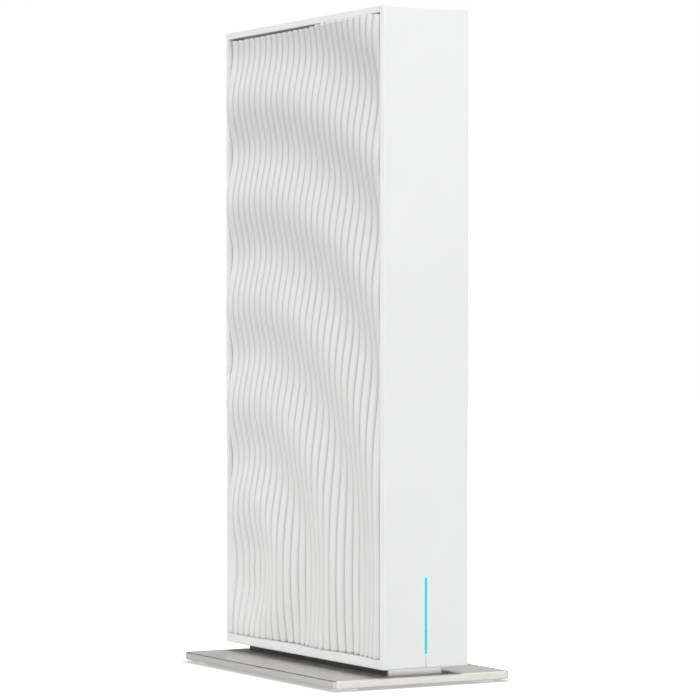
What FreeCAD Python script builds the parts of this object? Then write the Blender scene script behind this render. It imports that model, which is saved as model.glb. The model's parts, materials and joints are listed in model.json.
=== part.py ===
"""A slim upright wireless router.

A white housing band holds a ribbed wave panel in each broad side and a port panel in its rear wall. A neck
joins it to a flat metal base. The electronics stand on an inner chassis between the two wave panels.

Frame, in millimetres: +Z up, front towards -Y, broad sides towards -X and +X. The origin is the middle of the
footprint, on the surface that the feet rest on.
"""

import FreeCAD
import Part

import math
import os

Vector = FreeCAD.Vector
X_AXIS = Vector(1, 0, 0)
Y_AXIS = Vector(0, 1, 0)
Z_AXIS = Vector(0, 0, 1)

# ---- Driving dimensions: the outside ----
OVERALL_HEIGHT = 250.0
BODY_WIDTH = 36.6
BODY_DEPTH = 125.0
FOOT_HEIGHT = 1.0
PLATE_THICKNESS = 3.0
PLATE_WIDTH = 75.0
PLATE_DEPTH = 123.0
PLATE_CORNER = 2.0
NECK_HEIGHT = 3.0
NECK_WIDTH = 23.6
NECK_DEPTH = 110.5
EDGE_RADIUS = 0.6
FRONT_WALL = 2.4
REAR_WALL = 2.4
TOP_WALL = 2.5
BOTTOM_WALL = 3.8

# ---- Driving dimensions: the wave panels ----
RIB_COUNT = 26
RIB_DEPTH = 0.8
MEAN_RISE = -0.32
WAVE_LENGTH = 39.86
WAVE_HEIGHT = 1.375
WAVE_TROUGH_RADIUS = 5.6
WAVE_CENTRE_FROM_REAR = 19.65
WAVE_CENTRE_ABOVE_BODY = 30.6
PANEL_BACK = 13.2
PANEL_SIDE_GAP = 0.1
PANEL_TOP_GAP = 0.3
PANEL_BOTTOM_GAP = 0.1
WAVE_SPANS = 64

# ---- Driving dimensions: the light bar ----
LIGHT_WIDTH = 1.25
LIGHT_LENGTH = 28.0
LIGHT_ABOVE_BODY = 5.3
WITNESS_LINE = 0.3

# ---- Driving dimensions: board and ports ----
BOARD_THICKNESS = 1.6
BOARD_FACE = -6.0
CHASSIS_FACE = -9.4
CHASSIS_THICKNESS = 1.5
PORT_X = 0.5
PORT_FACE_SETBACK = 0.9
JACK_WIDTH = 16.0
JACK_HEIGHT = 13.5
JACK_DEPTH = 21.0
PANEL_SETBACK = 0.4
PORT_PLATE = 2.0
PORT_FLANGE = 1.3
PORT_OPENING_WIDTH = 21.0
PORT_OPENING_LOW = 10.0
PORT_OPENING_HIGH = 173.0
PANEL_FIT = 0.2

# ---- Heights of the port centres above the body's underside ----
PANEL_SCREW_HEIGHTS = (14.0, 167.0)
POWER_JACK_HEIGHT = 24.5
POWER_BUTTON_HEIGHT = 38.5
USB_HEIGHT = 53.5
LAN_HEIGHTS = (71.0, 89.0, 107.0)
WAN_HEIGHT = 127.5
PAIRING_HEIGHT = 145.0
RESET_HEIGHT = 156.0

# ---- Worked out from the driving dimensions ----
PLATE_BOTTOM = FOOT_HEIGHT
PLATE_TOP = PLATE_BOTTOM + PLATE_THICKNESS
BODY_BOTTOM = PLATE_TOP + NECK_HEIGHT
BODY_TOP = OVERALL_HEIGHT
SIDE = BODY_WIDTH / 2
FRONT = -BODY_DEPTH / 2
REAR = BODY_DEPTH / 2
INNER_FRONT = FRONT + FRONT_WALL
INNER_REAR = REAR - REAR_WALL
INNER_BOTTOM = BODY_BOTTOM + BOTTOM_WALL
INNER_TOP = BODY_TOP - TOP_WALL
LEDGE_OUTER = PANEL_BACK - 0.1
LEDGE_INNER = LEDGE_OUTER - 1.2
LEDGE_REACH = 2.5
PORT_PANEL_OUTER = REAR - PANEL_SETBACK
PORT_PANEL_INNER = PORT_PANEL_OUTER - PORT_PLATE
PORT_FACE = REAR - PORT_FACE_SETBACK
BOARD_BACK = BOARD_FACE - BOARD_THICKNESS
CHASSIS_BACK = CHASSIS_FACE - CHASSIS_THICKNESS

# ---- Board outline and the places of its screws, as (y, z) ----
BOARD_FRONT = -50.0
BOARD_REAR = 57.0
BOARD_NOTCH_REAR = 48.0
BOARD_LOW = 27.0
BOARD_HIGH = 212.0
BOARD_NOTCH_LOW = 168.0
BOARD_SCREWS = ((-46.0, 31.0), (-46.0, 118.0), (-46.0, 208.0), (44.0, 208.0), (22.0, 118.0), (32.0, 31.0))
BASE_SCREWS = ((-6.5, -42.0), (6.5, -42.0), (-6.5, 42.0), (6.5, 42.0))
CHASSIS_SCREWS = ((-52.5, 17.5), (44.0, 17.5), (-52.5, 240.5), (52.5, 240.5))
CHASSIS_BOSS_TOP = -4.6
CHASSIS_WINDOWS = (
    ((-40, -4), (40, 108)),
    ((4, 26), (40, 108)),
    ((-40, 40), (128, 198)),
    ((-40, 40), (214, 222)),
)
HEATSINK_SCREWS = ((-39.0, 130.0), (23.0, 130.0), (-39.0, 196.0), (23.0, 196.0))
RUN = 0.1


def box(x, y, z):
    """A box from three (low, high) pairs."""
    return Part.makeBox(x[1] - x[0], y[1] - y[0], z[1] - z[0], Vector(x[0], y[0], z[0]))


def middle(centre, size):
    """The (low, high) pair of a length about its centre."""
    return (centre - size / 2, centre + size / 2)


def rod(radius, start, axis, length):
    """A cylinder from a start point along an axis."""
    return Part.makeCylinder(radius, length, Vector(*start), axis)


def prism(points, way):
    """A closed flat outline, extruded along a vector."""
    corners = [Vector(*p) for p in points]
    return Part.Face(Part.makePolygon(corners + corners[:1])).extrude(way)


def join(first, *others):
    """One solid from shapes that touch or overlap."""
    return first.fuse(list(others)).removeSplitter()


def upright_edges(shape, axis):
    """The straight edges of a shape that run along an axis."""
    found = []
    for edge in shape.Edges:
        ends = edge.Vertexes
        if len(ends) == 2 and isinstance(edge.Curve, Part.Line):
            along = (ends[1].Point - ends[0].Point).normalize()
            if abs(along.dot(axis)) > 0.999:
                found.append(edge)
    return found


def rounded(shape, radius, axis):
    """The shape with its edges along an axis rounded."""
    return shape.makeFillet(radius, upright_edges(shape, axis))


def cross_recess(width, depth):
    """A cross-shaped drive recess that stands on the origin and runs well past its mouth."""
    arm = width * 0.24
    height = (0, depth * 2)
    return box(middle(0, width), middle(0, arm), height).fuse(box(middle(0, arm), middle(0, width), height))


def screw(tip, axis, length, shank, head, head_height, countersunk=False):
    """A cross-head screw. tip is the shank's far end, and axis points from the tip to the head."""
    tip = Vector(*tip)
    seat = tip + axis * length
    body = Part.makeCylinder(shank, length, tip, axis)
    if countersunk:
        cap = Part.makeCone(shank, head, head_height, seat, axis)
    else:
        cap = Part.makeCylinder(head, head_height, seat, axis)
        cap = cap.makeFillet(head_height * 0.4, [cap.Edges[0]])
    depth = head_height * 0.6
    recess = cross_recess(head * 1.1, depth)
    recess.Placement = FreeCAD.Placement(seat + axis * (head_height - depth), FreeCAD.Rotation(Z_AXIS, axis))
    return body.fuse(cap).cut(recess)


def tube(points, radius):
    """A round cable along straight runs joined by arcs as large as the runs allow."""
    route = [Vector(*p) for p in points]
    runs = [(b - a).Length for a, b in zip(route, route[1:])]
    edges = []
    start = route[0]
    for i in range(1, len(route) - 1):
        into = (route[i] - route[i - 1]).normalize()
        out = (route[i + 1] - route[i]).normalize()
        half_turn = into.getAngle(out) / 2
        reach = 0.45 * min(runs[i - 1], runs[i])
        bend = reach / math.tan(half_turn)
        low = route[i] - into * reach
        high = route[i] + out * reach
        towards = (out - into).normalize()
        centre = route[i] + towards * (bend / math.cos(half_turn))
        top = centre - towards * bend
        edges.append(Part.LineSegment(start, low).toShape())
        edges.append(Part.Arc(low, top, high).toShape())
        start = high
    edges.append(Part.LineSegment(start, route[-1]).toShape())
    path = Part.Wire(edges)
    ring = Part.Wire([Part.Circle(route[0], (route[1] - route[0]).normalize(), radius).toShape()])
    made = path.makePipeShell([ring], True, False)
    assert abs(made.Volume - math.pi * radius**2 * path.Length) < 0.02 * made.Volume
    return made


def save(name, *solids):
    """Writes one sub-part, which may be several separate solids."""
    shape = solids[0] if len(solids) == 1 else Part.makeCompound(list(solids))
    assert all(s.isValid() and s.Volume > 0 for s in shape.Solids), name
    shape.exportStep(f"parts/{name}.step")
    print(f"{name:28s} {len(shape.Solids):3d} solids {shape.Volume:10.1f} mm3")


# ---------------------------------------------------------------- wave panels


def wave_rise(y, z):
    """How far the ribs' crowns stand out of the housing's side: rings about one centre."""
    centre_y = REAR - WAVE_CENTRE_FROM_REAR
    centre_z = BODY_BOTTOM + WAVE_CENTRE_ABOVE_BODY
    radius = math.hypot(y - centre_y, z - centre_z)
    return MEAN_RISE - WAVE_HEIGHT * math.cos(2 * math.pi * (radius - WAVE_TROUGH_RADIUS) / WAVE_LENGTH)


def rib_edges():
    """The y of every groove between two ribs, and of the panel's two sides."""
    low = INNER_FRONT + PANEL_SIDE_GAP
    pitch = (INNER_REAR - PANEL_SIDE_GAP - low) / RIB_COUNT
    return [low + pitch * i for i in range(RIB_COUNT + 1)]


def panel_heights():
    low = INNER_BOTTOM + PANEL_BOTTOM_GAP
    high = INNER_TOP - PANEL_TOP_GAP
    return low, high


def rib_face(y0, y1, side):
    """One rib: a parabola across, and a smooth curve along the wave."""
    low, high = panel_heights()
    step = (high - low) / WAVE_SPANS
    heights = [low, low + step / 3] + [low + step * i for i in range(1, WAVE_SPANS)] + [high - step / 3, high]
    columns = ((y0, -RIB_DEPTH), ((y0 + y1) / 2, RIB_DEPTH), (y1, -RIB_DEPTH))
    poles = [[Vector(side * (SIDE + wave_rise(y, z) + rise), y, z) for z in heights] for y, rise in columns]
    knots = [i / WAVE_SPANS for i in range(WAVE_SPANS + 1)]
    ends = [4] + [1] * (WAVE_SPANS - 1) + [4]
    surface = Part.BSplineSurface()
    surface.buildFromPolesMultsKnots(poles, [3, 3], ends, [0.0, 1.0], knots, False, False, 2, 3)
    return surface.toShape()


def edges_at(faces, test):
    """The edges of some faces whose middles pass a test."""
    found = []
    for face in faces:
        for edge in face.Edges:
            point = edge.valueAt((edge.FirstParameter + edge.LastParameter) / 2)
            if test(point):
                found.append(edge)
    return found


def flat_end(curves, back_points):
    """A flat face between some curves and the straight lines that close them."""
    lines = [Part.LineSegment(a, b).toShape() for a, b in zip(back_points, back_points[1:])]
    return Part.Face(Part.Wire(Part.sortEdges(curves + lines)[0]))


def wave_skin(side):
    """The panel's closed solid, without its hooks."""
    edges = rib_edges()
    low, high = panel_heights()
    back = side * PANEL_BACK
    ribs = [rib_face(a, b, side) for a, b in zip(edges, edges[1:])]
    faces = list(ribs)
    for z in (low, high):
        curves = edges_at(ribs, lambda p, z=z: abs(p.z - z) < 1e-6)
        corners = [side * (SIDE + wave_rise(y, z) - RIB_DEPTH) for y in (edges[0], edges[-1])]
        points = [Vector(corners[0], edges[0], z), Vector(back, edges[0], z)]
        points += [Vector(back, edges[-1], z), Vector(corners[1], edges[-1], z)]
        faces.append(flat_end(curves, points))
    for y in (edges[0], edges[-1]):
        curves = edges_at(ribs, lambda p, y=y: abs(p.y - y) < 1e-6)
        corners = [side * (SIDE + wave_rise(y, z) - RIB_DEPTH) for z in (low, high)]
        points = [Vector(corners[0], y, low), Vector(back, y, low)]
        points += [Vector(back, y, high), Vector(corners[1], y, high)]
        faces.append(flat_end(curves, points))
    rim = ((edges[0], low), (edges[-1], low), (edges[-1], high), (edges[0], high), (edges[0], low))
    faces.append(Part.Face(Part.makePolygon([Vector(back, y, z) for y, z in rim])))
    shell = Part.Shell(faces)
    shell.sewShape()
    solid = Part.Solid(Part.Shell(shell.Faces))
    if solid.Volume < 0:
        solid.reverse()
    return solid


def panel_hooks(side):
    """Snap hooks on the panel's back, each with a barb that grips behind the housing's ledge."""
    tip = LEDGE_INNER - 1.1
    arm = (LEDGE_REACH + 0.1, LEDGE_REACH + 1.3)
    barb = LEDGE_REACH - 0.6
    catch = LEDGE_INNER - 0.1
    made = []
    for wall, inward in ((INNER_FRONT, 1), (INNER_REAR, -1)):
        for z in (70.0, 205.0):
            outline = [(PANEL_BACK, arm[0]), (PANEL_BACK, arm[1]), (tip, arm[1]), (tip, arm[0])]
            outline += [(catch, barb), (catch, arm[0])]
            points = [(side * x, wall + inward * y, z - 4) for x, y in outline]
            made.append(prism(points, Vector(0, 0, 8)))
    for wall, inward in ((INNER_BOTTOM, 1), (INNER_TOP, -1)):
        for y in (-32.0, 32.0):
            outline = [(PANEL_BACK, arm[0]), (PANEL_BACK, arm[1]), (tip, arm[1]), (tip, arm[0])]
            outline += [(catch, barb), (catch, arm[0])]
            points = [(side * x, y - 4, wall + inward * z) for x, z in outline]
            made.append(prism(points, Vector(0, 8, 0)))
    return made


def wave_panel(side):
    return wave_skin(side).fuse(panel_hooks(side))


# -------------------------------------------------------------------- housing


def housing_frame():
    """The white band: front, top, rear and bottom walls in one moulding, open at both broad sides."""
    outer = box((-SIDE, SIDE), (FRONT, REAR), (BODY_BOTTOM, BODY_TOP))
    band = outer.makeFillet(EDGE_RADIUS, outer.Edges)
    band = band.cut(box((-SIDE - 1, SIDE + 1), (INNER_FRONT, INNER_REAR), (INNER_BOTTOM, INNER_TOP)))
    rims = []
    for edge in band.Edges:
        ends = edge.Vertexes
        if len(ends) == 2 and all(abs(abs(v.X) - SIDE) < 1e-6 for v in ends):
            inside = all(INNER_FRONT - 0.01 < v.Y < INNER_REAR + 0.01 for v in ends)
            if inside and all(INNER_BOTTOM - 0.01 < v.Z < INNER_TOP + 0.01 for v in ends):
                rims.append(edge)
    band = band.makeChamfer(0.2, rims)
    added = []
    for x in ((LEDGE_INNER, LEDGE_OUTER), (-LEDGE_OUTER, -LEDGE_INNER)):
        ring = box(x, (INNER_FRONT, INNER_REAR), (INNER_BOTTOM, INNER_TOP))
        hole_y = (INNER_FRONT + LEDGE_REACH, INNER_REAR - LEDGE_REACH)
        added.append(ring.cut(box(x, hole_y, (INNER_BOTTOM + LEDGE_REACH, INNER_TOP - LEDGE_REACH))))
    for y, z in CHASSIS_SCREWS:
        wall = (INNER_BOTTOM, z + 4) if z < 100 else (z - 4, INNER_TOP)
        added.append(box((CHASSIS_FACE, CHASSIS_BOSS_TOP), middle(y, 7.0), wall))
    for x, y in BASE_SCREWS:
        added.append(rod(4.5, (x, y, INNER_BOTTOM), Z_AXIS, 4.0))
    band = join(band, *added)
    cuts = [light_slot(), port_opening()]
    cuts += [box(middle(0, 18.0), (INNER_REAR - 1, REAR + 1), middle(z, 2.0)) for z in vent_heights()]
    cuts += [rod(1.2, (CHASSIS_FACE - 1, y, z), X_AXIS, 5.5) for y, z in CHASSIS_SCREWS]
    cuts += [rod(2.5, (x, y, BODY_BOTTOM - 1), Z_AXIS, 7.5) for x, y in BASE_SCREWS]
    for cut in cuts:
        band = band.cut(cut)
    return band


def vent_heights():
    return [BODY_TOP - 12.0 - 4.0 * i for i in range(13)]


def light_slot():
    """The slot for the light bar, and the fine line below it."""
    low = BODY_BOTTOM + LIGHT_ABOVE_BODY
    width = LIGHT_WIDTH + RUN
    slot = box(middle(0, width), (FRONT - 1, INNER_FRONT + 1), (low, low + LIGHT_LENGTH))
    line = box(middle(0, WITNESS_LINE), (FRONT - 1, FRONT + WITNESS_LINE), (BODY_BOTTOM - 1, low))
    return slot.fuse(line)


def port_opening():
    z = (BODY_BOTTOM + PORT_OPENING_LOW, BODY_BOTTOM + PORT_OPENING_HIGH)
    return rounded(box(middle(0, PORT_OPENING_WIDTH), (INNER_REAR - 1, REAR + 1), z), 1.5, Y_AXIS)


def rear_port_panel():
    """The panel with the port cut-outs, and the flange that sits behind the rear wall."""
    z = (BODY_BOTTOM + PORT_OPENING_LOW, BODY_BOTTOM + PORT_OPENING_HIGH)
    z_plate = (z[0] + PANEL_FIT, z[1] - PANEL_FIT)
    width = PORT_OPENING_WIDTH - 2 * PANEL_FIT
    flange_y = (PORT_PANEL_INNER - PORT_FLANGE, INNER_REAR - 0.1)
    plate = rounded(box(middle(0, width), (flange_y[0], PORT_PANEL_OUTER), z_plate), 1.3, Y_AXIS)
    flange = box(middle(0, width + 2.8), flange_y, (z[0] - 1.5, z[1] + 1.5))
    panel = join(plate, flange)
    y = (PORT_PANEL_INNER - 3, REAR + 1)
    cuts = []
    for height in (*LAN_HEIGHTS, WAN_HEIGHT):
        x = (BOARD_FACE - PANEL_FIT, BOARD_FACE + JACK_HEIGHT + PANEL_FIT)
        cuts.append(box(x, y, middle(BODY_BOTTOM + height, JACK_WIDTH + 2 * PANEL_FIT)))
    usb_x = (BOARD_FACE - PANEL_FIT, BOARD_FACE + USB_SHELL[1] + PANEL_FIT)
    cuts.append(box(usb_x, y, middle(BODY_BOTTOM + USB_HEIGHT, USB_SHELL[0] + 2 * PANEL_FIT)))
    jack_x = (BOARD_FACE - PANEL_FIT, BOARD_FACE + POWER_JACK[1] + PANEL_FIT)
    cuts.append(box(jack_x, y, middle(BODY_BOTTOM + POWER_JACK_HEIGHT, POWER_JACK[0] + 2 * PANEL_FIT)))
    for radius, height in ((POWER_CAP, POWER_BUTTON_HEIGHT), (PAIRING_CAP, PAIRING_HEIGHT)):
        cuts.append(rod(radius + PANEL_FIT, (PORT_X, y[0], BODY_BOTTOM + height), Y_AXIS, 12))
    cuts.append(rod(RESET_HOLE, (PORT_X, y[0], BODY_BOTTOM + RESET_HEIGHT), Y_AXIS, 12))
    for height in PANEL_SCREW_HEIGHTS:
        place = (0, y[0], BODY_BOTTOM + height)
        cuts.append(rod(1.3, place, Y_AXIS, 12))
        seat = Vector(0, PORT_PANEL_OUTER - 1.2, BODY_BOTTOM + height)
        cuts.append(Part.makeCone(1.3, 2.55, 1.25, seat, Y_AXIS))
    for cut in cuts:
        panel = panel.cut(cut)
    return panel


# ------------------------------------------------------------------ light bar

HOLDER_HALF_HEIGHT = LIGHT_LENGTH / 2 + 1.3
HOLDER_REAR = INNER_FRONT + 5.0
LIGHT_CENTRE = BODY_BOTTOM + LIGHT_ABOVE_BODY + LIGHT_LENGTH / 2


def light_bar():
    """The clear lens: a thin fin in the front slot, on a wider flange behind the wall."""
    fin = box(middle(0, LIGHT_WIDTH), (FRONT, INNER_FRONT), middle(LIGHT_CENTRE, LIGHT_LENGTH - RUN))
    flange_y = (INNER_FRONT, INNER_FRONT + 1.0)
    flange = box(middle(0, 5.0), flange_y, middle(LIGHT_CENTRE, 2 * HOLDER_HALF_HEIGHT))
    return join(fin, flange)


def light_bar_holder():
    y = (INNER_FRONT + 1.0, HOLDER_REAR)
    block = rounded(box(middle(0, 8.0), y, middle(LIGHT_CENTRE, 2 * HOLDER_HALF_HEIGHT)), 0.8, Y_AXIS)
    return block.cut(box(middle(0, 3.0), y, middle(LIGHT_CENTRE, LIGHT_LENGTH - 2)))


def light_board():
    y = (HOLDER_REAR, HOLDER_REAR + 1.0)
    return box(middle(0, 8.0), y, (LIGHT_CENTRE - HOLDER_HALF_HEIGHT, LIGHT_CENTRE + HOLDER_HALF_HEIGHT + 8))


def light_emitters():
    y = (HOLDER_REAR - 0.7, HOLDER_REAR)
    return [box(middle(0, 1.6), y, middle(LIGHT_CENTRE + 6.0 * i, 2.0)) for i in (-2, -1, 0, 1, 2)]


def light_cable():
    """A flat cable from the light board's back to the main board's face."""
    start = HOLDER_REAR + 1.0
    half = 0.15
    outline = [(2.0, start), (2.0 + 2 * half, start), (2.0 + 2 * half, start + 2.2)]
    outline += [(BOARD_FACE + 2 * half, BOARD_FRONT + 2.2), (BOARD_FACE + 2 * half, BOARD_FRONT + 4.4)]
    outline += [(BOARD_FACE, BOARD_FRONT + 4.4), (BOARD_FACE, BOARD_FRONT + 2), (2.0, start + 2.0)]
    z = LIGHT_CENTRE + HOLDER_HALF_HEIGHT + 2
    return prism([(x, y, z) for x, y in outline], Vector(0, 0, 5))


# ---------------------------------------------------------- chassis and board


def inner_chassis():
    """The plastic tray that carries the board, with standoffs, windows and two rear screw blocks."""
    x = (CHASSIS_BACK, CHASSIS_FACE)
    tray = rounded(box(x, (-55.8, 55.8), (15.2, 243.0)), 3.0, X_AXIS)
    for y, z in CHASSIS_WINDOWS:
        tray = tray.cut(rounded(box((x[0] - 1, x[1] + 1), y, z), 3.0, X_AXIS))
    added = [rod(2.8, (CHASSIS_FACE, y, z), X_AXIS, BOARD_BACK - CHASSIS_FACE) for y, z in BOARD_SCREWS]
    for height in PANEL_SCREW_HEIGHTS:
        z = BODY_BOTTOM + height
        added.append(box((CHASSIS_FACE, 3.5), (50.0, PORT_PANEL_INNER - PORT_FLANGE - 0.1), middle(z, 5.0)))
    added += [rod(2.0, (CHASSIS_FACE, y, 232.0), X_AXIS, ANTENNA_PLANE - CHASSIS_FACE) for y in ANTENNA_POSTS]
    tray = join(tray, *added)
    cuts = [rod(1.2, (CHASSIS_BACK - 1, y, z), X_AXIS, 8) for y, z in BOARD_SCREWS]
    cuts += [rod(1.4, (CHASSIS_BACK - 1, y, z), X_AXIS, 4) for y, z in CHASSIS_SCREWS]
    cuts += [rod(1.05, (0, 51.0, BODY_BOTTOM + height), Y_AXIS, 9) for height in PANEL_SCREW_HEIGHTS]
    for cut in cuts:
        tray = tray.cut(cut)
    return tray


def main_board():
    x = (BOARD_BACK, BOARD_FACE)
    board = box(x, (BOARD_FRONT, BOARD_REAR), (BOARD_LOW, BOARD_HIGH))
    board = board.cut(box(x, (BOARD_NOTCH_REAR, BOARD_REAR), (BOARD_NOTCH_LOW, BOARD_HIGH)))
    board = rounded(board, 1.0, X_AXIS)
    for y, z in BOARD_SCREWS:
        board = board.cut(rod(1.5, (BOARD_BACK - 1, y, z), X_AXIS, 4))
    for y, z in HEATSINK_SCREWS:
        board = board.cut(rod(1.2, (BOARD_BACK - 1, y, z), X_AXIS, 4))
    return board


def on_board(y, z, height, size_y, size_z):
    """A package that stands on the board's face."""
    return box((BOARD_FACE, BOARD_FACE + height), middle(y, size_y), middle(z, size_z))


CHIP_HEIGHT = 1.5
PAD_HEIGHT = 1.3
SINK_BASE = BOARD_FACE + CHIP_HEIGHT + PAD_HEIGHT
CHIPS = ((-10.0, 165.0, 21.0), (-32.0, 150.0, 12.0), (12.0, 150.0, 12.0))
MEMORIES = ((-12.0, 188.0), (4.0, 188.0), (-28.0, 188.0))
SHIELDS = ((-30.0, 92.0, 30.0, 34.0), (4.0, 92.0, 30.0, 34.0), (-30.0, 54.0, 30.0, 30.0))


def thermal_pads():
    x = (BOARD_FACE + CHIP_HEIGHT, SINK_BASE)
    return [box(x, middle(y, size), middle(z, size)) for y, z, size in CHIPS]


def heatsink():
    """A base plate with upright fins and four screw bosses."""
    y = (-43.0, 27.0)
    z = (126.0, 200.0)
    sink = rounded(box((SINK_BASE, SINK_BASE + 3.0), y, z), 2.0, X_AXIS)
    bosses = [rod(2.6, (BOARD_FACE, a, b), X_AXIS, SINK_BASE - BOARD_FACE) for a, b in HEATSINK_SCREWS]
    fins = []
    for i in range(14):
        low = y[0] + 6.0 + 4.46 * i - 0.6
        fins.append(box((SINK_BASE + 3.0, SINK_BASE + 12.0), (low, low + 1.2), (z[0] + 2, z[1] - 2)))
    sink = join(sink, *bosses, *fins)
    for a, b in HEATSINK_SCREWS:
        sink = sink.cut(rod(1.05, (BOARD_FACE - 1, a, b), X_AXIS, 4.5))
    return sink


def radio_shields():
    """Pressed steel cans, open towards the board."""
    cans = []
    for y, z, size_y, size_z in SHIELDS:
        can = rounded(on_board(y, z, 2.6, size_y, size_z), 1.0, X_AXIS)
        hollow = on_board(y, z, 2.3, size_y - 0.6, size_z - 0.6)
        cans.append(can.cut(hollow))
    return cans


def capacitors():
    made = []
    for y, z, radius, height in ((30.0, 40.0, 4.0, 9.0), (20.0, 40.0, 4.0, 9.0), (20.0, 52.0, 3.15, 7.0)):
        can = rod(radius, (BOARD_FACE, y, z), X_AXIS, height)
        made.append(can.makeFillet(0.5, [can.Edges[0]]))
    return made


def inductors():
    return [rounded(on_board(y, z, 4.0, 7.0, 7.0), 1.0, X_AXIS) for y, z in ((30, 55), (30, 66), (20, 66))]


# ---------------------------------------------------------------------- ports

USB_SHELL = (13.2, 5.8, 14.0)
POWER_JACK = (9.0, 11.0, 14.5)
POWER_CAP = 4.0
PAIRING_CAP = 3.0
RESET_HOLE = 0.8
CAVITY_DEPTH = 14.0
CONTACT_PITCH = 1.02


def ethernet_jack(height):
    """A socket with the stepped mouth that takes a plug's body and latch."""
    z = BODY_BOTTOM + height
    y = (PORT_FACE - JACK_DEPTH, PORT_FACE)
    body = box((BOARD_FACE, BOARD_FACE + JACK_HEIGHT), y, middle(z, JACK_WIDTH))
    body = rounded(body, 0.3, Y_AXIS)
    mouth = (PORT_FACE - CAVITY_DEPTH, PORT_FACE + 1)
    for x, width in (((-4.6, 2.4), 11.8), ((2.3, 4.0), 6.4), ((3.9, 5.6), 3.6)):
        body = body.cut(box(x, mouth, middle(z, width)))
    return body


def ethernet_contacts():
    """Eight spring contacts in each socket, rising from the wall near the mouth to the socket's back."""
    back = PORT_FACE - CAVITY_DEPTH
    outline = [(-4.6, PORT_FACE - 2.4), (-2.95, back + 3.4), (-2.95, back)]
    outline += [(-3.3, back), (-3.3, back + 3.3), (-4.6, PORT_FACE - 3.6)]
    made = []
    for height in (*LAN_HEIGHTS, WAN_HEIGHT):
        for i in range(8):
            z = BODY_BOTTOM + height + (i - 3.5) * CONTACT_PITCH - 0.25
            made.append(prism([(x, y, z) for x, y in outline], Vector(0, 0, 0.5)))
    return made


def magnetics():
    heights = (*LAN_HEIGHTS, WAN_HEIGHT)
    return [rounded(on_board(33.0, BODY_BOTTOM + h, 5.0, 8.0, 14.0), 0.5, X_AXIS) for h in heights]


def usb_shell():
    z = BODY_BOTTOM + USB_HEIGHT
    x = (BOARD_FACE, BOARD_FACE + USB_SHELL[1])
    shell = rounded(box(x, (PORT_FACE - USB_SHELL[2], PORT_FACE), middle(z, USB_SHELL[0])), 0.5, Y_AXIS)
    wall = 0.35
    inner_y = (PORT_FACE - USB_SHELL[2] + wall, PORT_FACE + 1)
    return shell.cut(box((x[0] + wall, x[1] - wall), inner_y, middle(z, USB_SHELL[0] - 2 * wall)))


def usb_tongue():
    """The contact tongue, on a block that closes the back of the shell."""
    z = BODY_BOTTOM + USB_HEIGHT
    back = PORT_FACE - USB_SHELL[2] + 0.35
    block = box((BOARD_FACE + 0.35, BOARD_FACE + USB_SHELL[1] - 0.35), (back, back + 3.4), middle(z, 12.5))
    tongue = box((BOARD_FACE + 2.6, BOARD_FACE + 4.4), (back + 3.4, back + 12.0), middle(z, 11.1))
    return join(block, tongue)


def usb_contacts():
    z = BODY_BOTTOM + USB_HEIGHT
    y = (PORT_FACE - 9.5, PORT_FACE - 2.0)
    x = (BOARD_FACE + 2.45, BOARD_FACE + 2.6)
    return [box(x, y, middle(z + offset, 1.0)) for offset in (-3.5, -1.0, 1.0, 3.5)]


def power_jack_body():
    z = BODY_BOTTOM + POWER_JACK_HEIGHT
    x = (BOARD_FACE, BOARD_FACE + POWER_JACK[1])
    body = rounded(box(x, (PORT_FACE - POWER_JACK[2], PORT_FACE), middle(z, POWER_JACK[0])), 0.5, Y_AXIS)
    return body.cut(rod(3.2, (PORT_X - 1.0, PORT_FACE - 9.5, z), Y_AXIS, 12))


def power_jack_pin():
    start = (PORT_X - 1.0, PORT_FACE - 9.5, BODY_BOTTOM + POWER_JACK_HEIGHT)
    pin = rod(1.0, start, Y_AXIS, 8.5)
    return pin.makeFillet(0.4, [pin.Edges[0]])


# -------------------------------------------------------------------- buttons

CAP_OUTER = REAR - 0.1
CAP_FLANGE = PORT_PANEL_INNER - PORT_FLANGE - 0.2


def push_cap(radius, height):
    """A button cap that shows through the port panel, with a flange that keeps it in."""
    z = BODY_BOTTOM + height
    cap = rod(radius, (PORT_X, CAP_FLANGE - 0.8, z), Y_AXIS, CAP_OUTER - CAP_FLANGE + 0.8)
    cap = cap.makeFillet(0.35, [cap.Edges[0]])
    return cap.fuse(rod(radius + 0.8, (PORT_X, CAP_FLANGE - 0.8, z), Y_AXIS, 0.8)).removeSplitter()


def power_button():
    stem = rod(1.4, (PORT_X, 49.0, BODY_BOTTOM + POWER_BUTTON_HEIGHT), Y_AXIS, CAP_FLANGE - 0.8 - 49.0)
    return join(push_cap(POWER_CAP, POWER_BUTTON_HEIGHT), stem)


def power_switch():
    z = BODY_BOTTOM + POWER_BUTTON_HEIGHT
    body = rounded(box((BOARD_FACE, PORT_X + 3.5), (43.5, 53.0), middle(z, 7.0)), 0.4, Y_AXIS)
    return body.cut(rod(1.55, (PORT_X, 47.0, z), Y_AXIS, 7))


def pairing_button():
    z = BODY_BOTTOM + PAIRING_HEIGHT
    stem = rod(1.0, (PORT_X, 54.1, z), Y_AXIS, CAP_FLANGE - 0.8 - 54.1)
    return join(push_cap(PAIRING_CAP, PAIRING_HEIGHT), stem)


def tact_body(height):
    """A small upright key switch, with a bore for its plunger."""
    z = BODY_BOTTOM + height
    body = rounded(box((BOARD_FACE, PORT_X + 3.2), (50.0, 53.6), middle(z, 6.4)), 0.4, Y_AXIS)
    return body.cut(rod(1.75, (PORT_X, 51.4, z), Y_AXIS, 4))


def tact_plunger(height, outer):
    pin = rod(1.6, (PORT_X, 52.4, BODY_BOTTOM + height), Y_AXIS, outer - 52.4)
    return pin.makeFillet(0.25, [pin.Edges[0]])


# ------------------------------------------------------------------- antennas

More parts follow.
